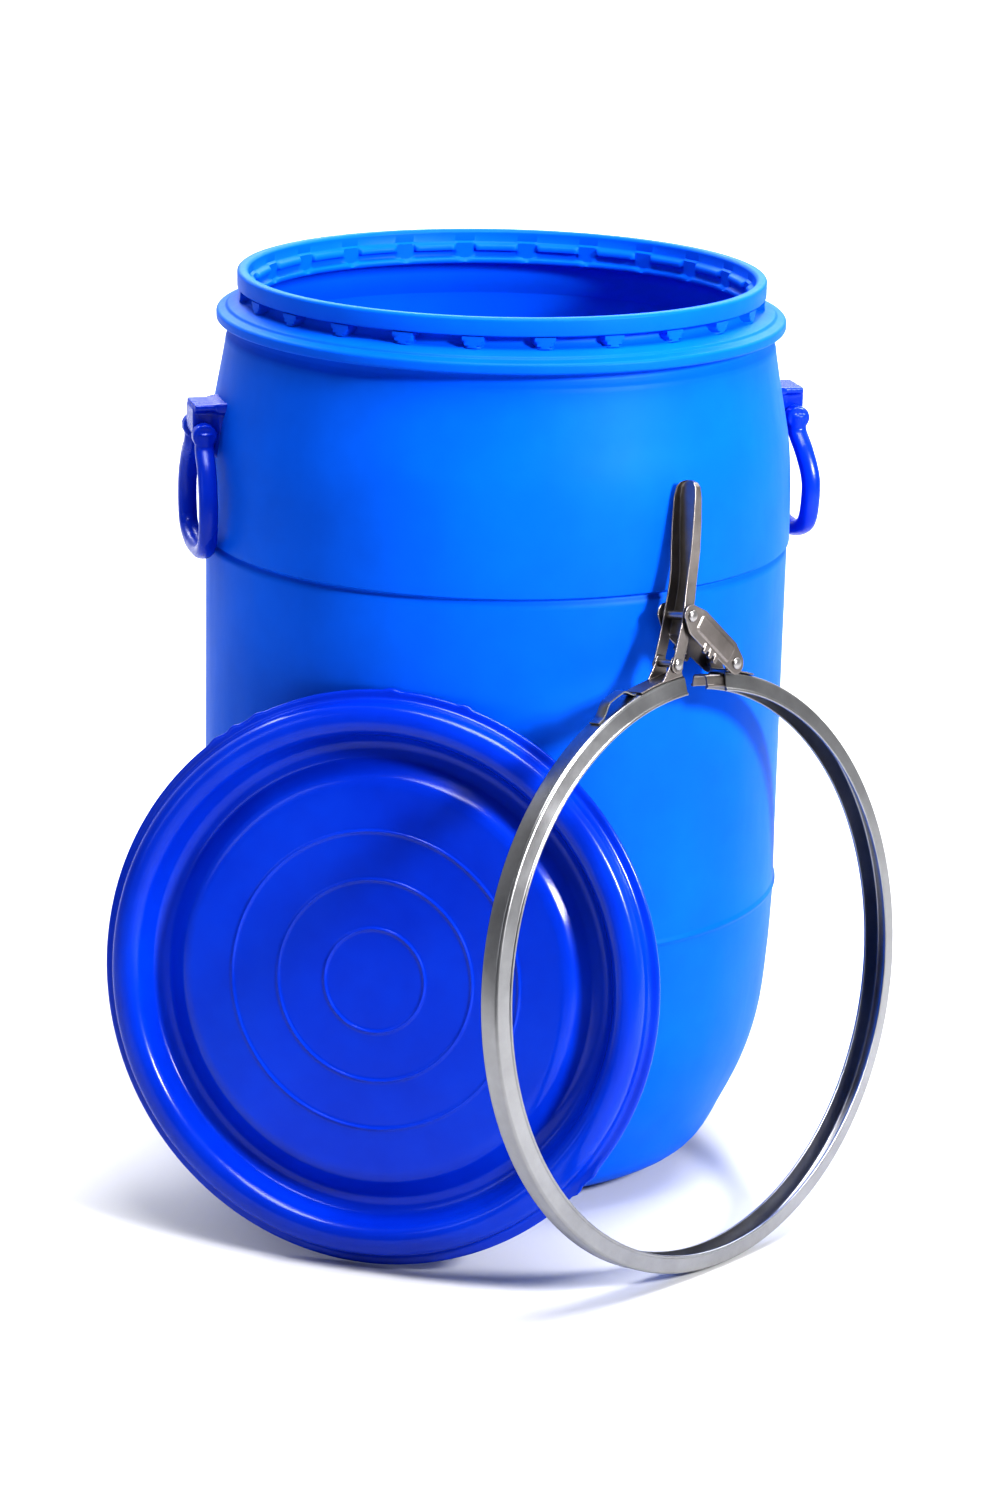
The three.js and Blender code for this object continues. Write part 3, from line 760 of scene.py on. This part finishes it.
def lever_arm():
    """Pressed channel lever: deep legs, a waist above the middle pivot and a spoon-shaped tip."""
    stations = [
        # share of the length, half width, web side, open side
        (0.22, 8.8, 4.6, 4.6), (0.30, 8.8, 5.0, 5.0), (0.36, 8.8, 5.0, 5.2), (0.46, 8.3, 5.0, 5.2),
        (0.56, 8.0, 5.0, 5.0), (0.64, 8.3, 5.0, 4.8), (0.72, 9.2, 5.0, 4.4), (0.82, 9.7, 4.9, 3.6),
        (0.91, 9.6, 4.7, 2.4), (0.96, 8.4, 4.5, 1.2), (0.985, 6.2, 4.3, 0.2), (1.0, 2.6, 4.1, -1.4),
    ]
    sections = []
    for share, half, web, open_side in stations:
        here, along = along_line(LEVER_LINE, share)
        away = Vector((along.y, -along.x))
        outline = [
            (-open_side, -half), (web, -half), (web, half), (-open_side, half),
            (-open_side, half - SHEET), (web - SHEET, half - SHEET), (web - SHEET, -half + SHEET),
            (-open_side, -half + SHEET),
        ]
        outline = rounded(outline, 0.8, 2, True)
        sections.append([(*(here + away * off), side) for off, side in outline])
    parts = [loft("channel", sections, RING_FRAME)]
    line = [along_line(LEVER_LINE, s) for s in (0.03, 0.1, 0.17, 0.25)]
    heading = math.degrees(math.atan2(*(PIVOT_B - PIVOT_A).yx))
    front = [tuple(p + Vector((a.y, -a.x)) * 5.0) for p, a in line]
    back = [tuple(p - Vector((a.y, -a.x)) * 5.0) for p, a in reversed(line)]
    leg = [*front, *back, *arc(PIVOT_A, 6, heading + 110, heading + 250, 8)]
    for side in (-1, 1):
        parts.append(plate("leg", leg, *sorted((side * (LEG_OUT - SHEET), side * LEG_OUT)), RING_FRAME))
    lever = fused(joined("lever_arm", parts), 0.42, 2)
    return finish_piece(lever, "lever", LEVER_ZINC, ["lever"])


def toggle_link():
    """Pair of stepped plates joined by short webs, with pressed ridges and two folded teeth."""
    along = PIVOT_C - PIVOT_B
    length = along.length
    turn = Matrix.Rotation(math.atan2(along.y, along.x), 4, "Z")
    place = RING_FRAME @ Matrix.Translation((*(PIVOT_B * MM), 0)) @ turn
    outline = rounded([
        *arc((0, 0), 7.5, 215, 110, 8), (9, 10.4), (length - 8, 10.4),
        *arc((length, 0), 7.5, 70, -90, 10), (length - 16, -8), (24, -10.4), (5, -10.4),
    ], 1.5, 2, True)
    parts = []
    for side in (-1, 1):
        parts.append(plate("cheek", outline, *sorted((side * PLATE_IN, side * PLATE_OUT)), place))
        belt = rounded([(8.5, -4.6), (length - 8, -4.6), (length - 8, 6.8), (8.5, 6.8)], 2.4, 3, True)
        parts.append(plate("belt", belt, *sorted((side * PLATE_IN, side * (PLATE_OUT + 0.9))), place))
        for tooth in (22, 28, 34):
            shape = rounded([
                (tooth, -13), (tooth + 3.2, -13), (tooth + 3.8, -6.4), (tooth - 0.6, -6.4),
            ], 0.8, 2, True)
            parts.append(plate("tooth", shape, *sorted((side * PLATE_IN, side * (PLATE_OUT + 1))), place))
    web = rounded([(9, 9.4), (length - 7, 9.4), (length - 7, 10.6), (9, 10.6)], 0.4, 2, True)
    parts.append(plate("web", web, -PLATE_OUT, PLATE_OUT, place))
    link = fused(joined("toggle_plates", parts), 0.42, 2)
    return finish_piece(link, "link", LEVER_ZINC, ["toggle_link"])


def rivet_profile(reach):
    """Half outline of a rivet with a domed head at that distance on either side."""
    upper = [(0, reach + 1.65)]
    for t in (1.35, 1.05, 0.7, 0.35, 0):
        upper.append((math.cos(t) * RIVET_HEAD, reach + 0.15 + math.sin(t) * 1.5))
    upper += [(RIVET_HEAD, reach), (RIVET_SHANK, reach)]
    return [(r, -z) for r, z in upper] + upper[::-1]


def rivet(name, node, body, pivot, profile):
    place = RING_FRAME @ Matrix.Translation((pivot[0] * MM, pivot[1] * MM, 0))
    return finish_piece(lathe(name, profile, even(32), place), body, RIVET_ZINC, [node])


def end_rivet(side):
    """Rivet through one link plate, ending beside the bracket's ear."""
    low = EAR_OUT + RIVET_PLAY
    inside = PLATE_IN - RIVET_PLAY
    outside = PLATE_OUT + RIVET_PLAY
    profile = [
        (0, low), (RIVET_HEAD, low), (RIVET_HEAD, inside), (RIVET_SHANK, inside),
        (RIVET_SHANK, outside), (END_HEAD, outside),
    ]
    for t in (0.1, 0.45, 0.8, 1.1, 1.35):
        profile.append((math.cos(t) * END_HEAD, outside + 0.15 + math.sin(t) * 1.5))
    profile.append((0, outside + 1.65))
    profile = [(r, side * z) for r, z in profile]
    name, node = ("end_pin_front", "end_rivet_front") if side > 0 else ("end_pin_back", "end_rivet_back")
    return rivet(name, node, "link", PIVOT_C, profile)


# ---- assembly -------------------------------------------------------------------------------
add_camera()
add_floor()
add_lights()
drum_shell()
for side_name, bulge in (("left", 0.8), ("right", 5.5)):
    handle_lug(f"lug_{side_name}", f"handle_{side_name}_swing")
    swing_handle(f"handle_{side_name}", f"handle_{side_name}_swing", bulge)
lid_shell()
lid_seal()
ring_band()
gap_bridge()
seal_loop()
ear_bracket("lever_ears", "lever_bracket", "ring_left", PIVOT_A, (12.4, 0.6), (6.5, 0.8))
ear_bracket("link_ears", "link_bracket", "ring_right", PIVOT_C, (-11.7, -20), (-11.9, -16))
lever_arm()
toggle_link()
rivet("lever_pin", "lever_rivet", "ring_left", PIVOT_A, rivet_profile(LEG_OUT + RIVET_PLAY))
rivet("link_pin", "link_rivet", "lever", PIVOT_B, rivet_profile(PLATE_OUT + RIVET_PLAY))
end_rivet(1)
end_rivet(-1)
